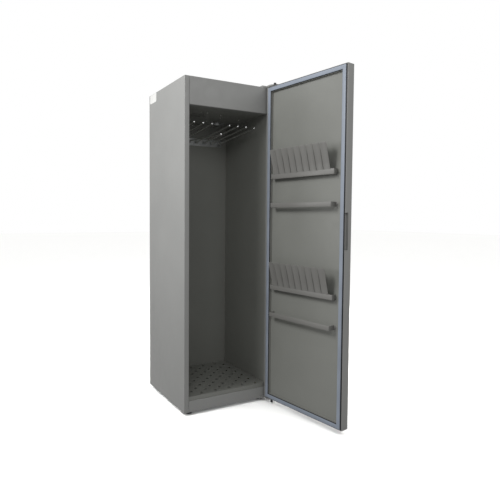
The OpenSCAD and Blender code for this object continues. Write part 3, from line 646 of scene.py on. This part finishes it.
def makePlinth(settings):
    low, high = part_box("front_plinth")
    panel = addBox("plinthSkin", low, high)
    drop(panel, facing(1, 1), facing(2, -1), facing(0, 1), facing(0, -1))
    roundEdges(panel, edgeAlong(0, [(low.y, high.z)]), settings["bend"])
    giveThickness(panel, settings["sheet"])
    smooth(panel)
    settle(panel, "casing", "grey_paint", "front_plinth")


makeSidePanels(sidePanel)
makeTopPanel(topPanel)
makeFascia(fascia)
makePlinth(plinth)
for node, width in (("hinge_bracket_top", 0.0008), ("hinge_bracket_bottom", 0.0008), ("hinge_pins", 0.0008),
                    ("cable_gland", 0.0006), ("casing_screws", 0.0005), ("exhaust_spigot", 0.0004)):
    easedCopy(node, "casing", width)
for node in ("foot_front_left", "foot_front_right", "foot_rear_left", "foot_rear_right"):
    easedCopy(node, node, 0.0015, steps=3)
print("casing skins made")

sticker = {"low": (-0.2979, 0.15, 1.884), "high": (-0.2975, 0.257, 1.939), "corner": 0.003}


def makeSticker(settings):
    label = addBox("blankSticker", settings["low"], settings["high"])
    low, high = Vector(settings["low"]), Vector(settings["high"])
    roundEdges(label, edgeAlong(0, [(y, z) for y in (low.y, high.y) for z in (low.z, high.z)]),
               settings["corner"])
    smooth(label)
    settle(label, "casing", "white_plastic")


# Shares of a screw head's height and radius
screwShape = {"sides": 28, "crown": 0.5, "land": 0.13, "wall": 0.17, "socket": 0.3}


def makeScrewHead(radius, height):
    deselect()
    bpy.ops.mesh.primitive_cylinder_add(vertices=screwShape["sides"], radius=radius, depth=height,
                                        location=(0, 0, height / 2))
    head = bpy.context.object
    head.name = "screwHead"
    bpy.ops.object.transform_apply(location=True, rotation=True, scale=True)
    edit(head, "FACE", facing(2, 1), bpy.ops.mesh.bevel, offset=height * screwShape["crown"], segments=4,
         affect="EDGES")
    edit(head, "FACE", facing(2, 1), bpy.ops.mesh.inset, thickness=radius * screwShape["land"], depth=0)
    edit(head, "FACE", lambda face: facing(2, 1)(face) and len(face.verts) > 4, bpy.ops.mesh.inset,
         thickness=radius * screwShape["wall"], depth=-height * screwShape["socket"])
    return head


ceilingScrews = {"places": [(-0.1155, -0.1195), (-0.0725, -0.1185), (0.0345, -0.0925), (0.0685, -0.0265),
                            (0.2055, -0.0305), (0.0375, 0.0985)],
                 "radius": 0.0045, "height": 0.0028}


def makeCeilingScrews(settings):
    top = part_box("ceiling_plate")[0].z
    screw = makeScrewHead(settings["radius"], settings["height"])
    heads = []
    for x, y in settings["places"]:
        heads.append(copyOf(screw, "ceilingScrew"))
        heads[-1].data.transform(Matrix.Translation((x, y, top)) @ Matrix.Rotation(math.pi, 4, "X"))
    bpy.data.objects.remove(screw, do_unlink=True)
    screws = join(heads, "ceilingScrews")
    smooth(screws)
    settle(screws, "casing", "rod_steel")


makeSticker(sticker)
makeCeilingScrews(ceilingScrews)
print("sticker and ceiling screws made")

door = {"low": Vector((-0.297, -0.3355, 0.027)), "high": Vector((0.297, doorHinge["innerFace"], 1.937)),
        "sheet": 0.0012, "margin": 0.032, "hingeMargin": 0.042, "upright": 0.006, "edge": 0.0025,
        "recess": 0.014, "cutReach": 0.002}  # cuts start and end this far off a face
doorMargins = {"low": Vector((door["margin"], 0, door["margin"])),
               "high": Vector((door["hingeMargin"], 0, door["margin"]))}
notch = {"width": 0.013, "depth": 0.022, "low": 0.983, "high": 1.175, "sheet": 0.0015, "bend": 0.003}
controlPanel = {"housingLow": (-0.1003, -0.339, 1.7717), "housingHigh": (0.1003, -0.328, 1.8183)}


def makeDoorShell(settings):
    low, high, reach = settings["low"], settings["high"], settings["cutReach"]
    shell = addBox("doorSkin", low, high)
    roundEdges(shell, edgeAlong(2, [(x, y) for x in (low.x, high.x) for y in (low.y, high.y)]),
               settings["upright"], steps=6)
    roundEdges(shell, lambda edge: len({round(point.co.z, 5) for point in edge.verts}) == 1,
               settings["edge"])  # the level edges, at the top and the bottom
    windowLow, windowHigh = low + doorMargins["low"], high - doorMargins["high"]
    cutAway(shell, (windowLow.x, high.y - reach, windowLow.z),
            (windowHigh.x, high.y + reach, windowHigh.z), (0, 2))
    cutAway(shell, (low.x - reach, high.y - notch["depth"], notch["low"]),
            (low.x + notch["width"], high.y + reach, notch["high"]), (0, 1, 2))
    cutAway(shell, controlPanel["housingLow"], controlPanel["housingHigh"], (0, 2))
    giveThickness(shell, settings["sheet"])
    smooth(shell)
    swingOpen(shell)
    settle(shell, "door", "grey_paint", "door_shell")


lining = {"sheet": 0.001, "corner": 0.006, "bend": 0.0025}


def makeDoorLining(settings):
    low = door["low"] + doorMargins["low"]
    low.y = door["high"].y - door["recess"] - settings["sheet"]
    high = door["high"] - doorMargins["high"]
    pan = addBox("doorLiningSkin", low, high)
    drop(pan, facing(1, 1))
    roundEdges(pan, edgeAlong(1, [(x, z) for x in (low.x, high.x) for z in (low.z, high.z)]),
               settings["corner"], steps=5)
    roundEdges(pan, lambda edge: all(near(point.co.y, low.y) for point in edge.verts), settings["bend"])
    giveThickness(pan, settings["sheet"])
    smooth(pan)
    swingOpen(pan)
    settle(pan, "door", "lining_paint", "door_lining")


# The seal's section, as steps of (inward, outward) from its outer foot
seal = {"inset": 0.006, "hingeInset": 0.016, "base": 0.001, "foot": 0.0028, "footTop": 0.0014, "shade": 50,
        "middleArea": 0.7,  # square metres: only the ring's middle face is larger
        "steps": [(0.0, 0.0006), (0.0, 0.0006), (0.0, 0.0006), (0.0, 0.0014), (0.0004, 0.0014),
                  (0.001, 0.0016), (0.0018, 0.0011), (0.0028, 0.0008), (0.0034, 0.0004), (0.0028, 0.0001),
                  (0.0006, -0.0004), (0.0006, 0.0004), (0.003, -0.0001), (0.003, -0.0006),
                  (0.0024, -0.0009), (0.0018, -0.0014), (0.001, -0.0018), (0.0006, -0.0016),
                  (0.0004, -0.0014), (0.0004, -0.0008)]}


def makeSeal(settings):
    low = door["low"] + Vector((settings["inset"], 0, settings["inset"]))
    high = door["high"] - Vector((settings["hingeInset"], 0, settings["inset"]))
    ring = addBox("doorSealProfile", (low.x, high.y - settings["base"], low.z), high)
    drop(ring, lambda face: not facing(1, 1)(face))

    def isMiddle(face):
        return face.calc_area() > settings["middleArea"]

    for inward, outward in settings["steps"]:
        edit(ring, "FACE", isMiddle, bpy.ops.mesh.inset, thickness=inward, depth=outward)
    drop(ring, isMiddle)
    edit(ring, "EDGE", lambda edge: edge.is_boundary, bpy.ops.mesh.bridge_edge_loops)
    for axis in (0, 2):  # the foot is wider than the lip over it
        for side, way in ((low, -1), (high, 1)):
            edit(ring, "VERT", lambda point: near(point.co[axis], side[axis])
                 and point.co.y < high.y + settings["footTop"], bpy.ops.transform.translate,
                 value=tuple(way * settings["foot"] if i == axis else 0 for i in range(3)))
    edit(ring, "FACE", lambda face: True, bpy.ops.mesh.normals_make_consistent, inside=False)
    smooth(ring, settings["shade"])
    swingOpen(ring)
    settle(ring, "door", "seal_rubber", "door_seal")


def makeFingerNotch(settings):
    low = Vector((door["low"].x, door["high"].y - settings["depth"], settings["low"]))
    high = Vector((door["low"].x + settings["width"], door["high"].y, settings["high"]))
    pocket = addBox("fingerNotchPocket", low, high)
    drop(pocket, facing(0, -1), facing(1, 1))
    roundEdges(pocket, edgeAlong(2, [(high.x, low.y)]), settings["bend"])
    giveThickness(pocket, -settings["sheet"])
    smooth(pocket)
    swingOpen(pocket)
    settle(pocket, "door", "grey_paint", "finger_notch")


makeDoorShell(door)
makeDoorLining(lining)
makeSeal(seal)
makeFingerNotch(notch)
print("door skins, seal and notch made")

rails = {"half": 0.227, "levels": {"rail_lower": 0.551, "rail_upper": 1.208}, "height": 0.026,
         "reach": 0.044, "foot": 0.013, "sheet": 0.002, "bend": 0.004, "ease": 0.0005,
         "screwRadius": 0.0038, "screwHeight": 0.0016, "screwSink": 0.0002,
         "screwPlace": 0.6}  # a share of the foot
liningFace = door["high"].y - door["recess"]


# Copies of a finished form, one for each level, on the open door
def setAtLevels(form, levels):
    for node, level in levels.items():
        piece = copyOf(form, node + "_formed")
        piece.data.transform(openSwing @ Matrix.Translation((0, 0, level)))
        settle(piece, "door", "rack_paint", node)
    bpy.data.objects.remove(form, do_unlink=True)


def makeRails(settings):
    half, reach = settings["half"], settings["reach"]
    bar = addBox("railBar", (-half, liningFace, 0), (half, liningFace + reach, settings["height"]))
    drop(bar, facing(1, -1), facing(2, 1), facing(2, -1))
    for way in (-1, 1):
        edit(bar, "EDGE", edgeAlong(2, [(way * half, liningFace)]), bpy.ops.mesh.extrude_edges_move,
             TRANSFORM_OT_translate={"value": (way * settings["foot"], 0, 0)})
    folds = [(way * half, y) for way in (-1, 1) for y in (liningFace, liningFace + reach)]
    roundEdges(bar, edgeAlong(2, folds), settings["bend"], steps=5)
    giveThickness(bar, settings["sheet"])
    easeCorners(bar, settings["ease"])
    parts = [bar]
    screw = makeScrewHead(settings["screwRadius"], settings["screwHeight"])
    across = half + settings["foot"] * settings["screwPlace"]
    seat = liningFace + settings["sheet"] - settings["screwSink"]
    for way in (-1, 1):
        head = copyOf(screw, "railScrew")
        head.data.transform(Matrix.Translation((way * across, seat, settings["height"] / 2))
                            @ Matrix.Rotation(-math.pi / 2, 4, "X"))
        parts.append(head)
    bpy.data.objects.remove(screw, do_unlink=True)
    form = join(parts, "railForm")
    smooth(form)
    setAtLevels(form, settings["levels"])


racks = {"half": 0.234, "levels": {"glove_rack_lower": 0.713, "glove_rack_upper": 1.377}, "height": 0.03,
         "reach": 0.032, "sheet": 0.002, "bend": 0.003, "ease": 0.0005, "tongues": 9, "pitch": 0.047,
         "tongueGap": 0.001, "tongueLift": 0.022, "shade": 40}
rackTongue = {"width": 0.044, "length": 0.152, "sheet": 0.002, "lean": 15, "round": 0.005, "dish": 0.004,
              "dishStart": 0.04, "ease": 0.0004, "columns": 14, "rows": 24}


# A tongue: a dished sheet with round top corners, modelled upright at the origin and then leant
def makeTongue(settings):
    deselect()
    bpy.ops.mesh.primitive_grid_add(x_subdivisions=settings["columns"], y_subdivisions=settings["rows"],
                                    size=1)
    tongue = bpy.context.object
    tongue.name = "tongueForm"
    half, length, corner = settings["width"] / 2, settings["length"], settings["round"]
    for point in tongue.data.vertices:
        up = (point.co.y + 0.5) * length
        over = max(0, up - (length - corner))
        reach = half - corner + math.sqrt(max(corner ** 2 - over ** 2, 0.0))
        across = point.co.x * 2 * reach
        dish = settings["dish"] * (1 - (across / half) ** 2) * min(1, up / settings["dishStart"])
        point.co = (across, -dish, up)
    giveThickness(tongue, settings["sheet"])
    easeCorners(tongue, settings["ease"])
    tongue.data.transform(Matrix.Rotation(math.radians(-settings["lean"]), 4, "X"))
    return tongue


def makeRacks(settings):
    half, front = settings["half"], liningFace + settings["reach"]
    bar = addBox("rackBar", (-half, liningFace, 0), (half, front, settings["height"]))
    drop(bar, facing(1, -1), facing(2, 1))
    roundEdges(bar, edgeAlong(2, [(way * half, front) for way in (-1, 1)]), settings["bend"])
    roundEdges(bar, lambda edge: all(near(point.co.z, 0) for point in edge.verts)
               and not all(near(point.co.y, liningFace) for point in edge.verts), settings["bend"])
    giveThickness(bar, settings["sheet"])
    easeCorners(bar, settings["ease"])
    tongue = makeTongue(rackTongue)
    seat = front - settings["sheet"] - settings["tongueGap"]
    parts = [bar]
    for i in range(settings["tongues"]):
        across = (i - (settings["tongues"] - 1) / 2) * settings["pitch"]
        parts.append(copyOf(tongue, "rackTongue"))
        parts[-1].data.transform(Matrix.Translation((across, seat, settings["tongueLift"])))
    bpy.data.objects.remove(tongue, do_unlink=True)
    form = join(parts, "rackForm")
    smooth(form, settings["shade"])
    setAtLevels(form, settings["levels"])


makeRails(rails)
makeRacks(racks)
print("rails and racks made")

for node, width in (("control_panel", 0.0012), ("display_window", 0.0004), ("door_stops", 0.001),
                    ("hinge_bushes", 0.0003)):
    easedCopy(node, "door", width)
for node in ("button_power", "button_mode", "button_start"):
    easedCopy(node, node, 0.0006, steps=3)
print("controls eased")
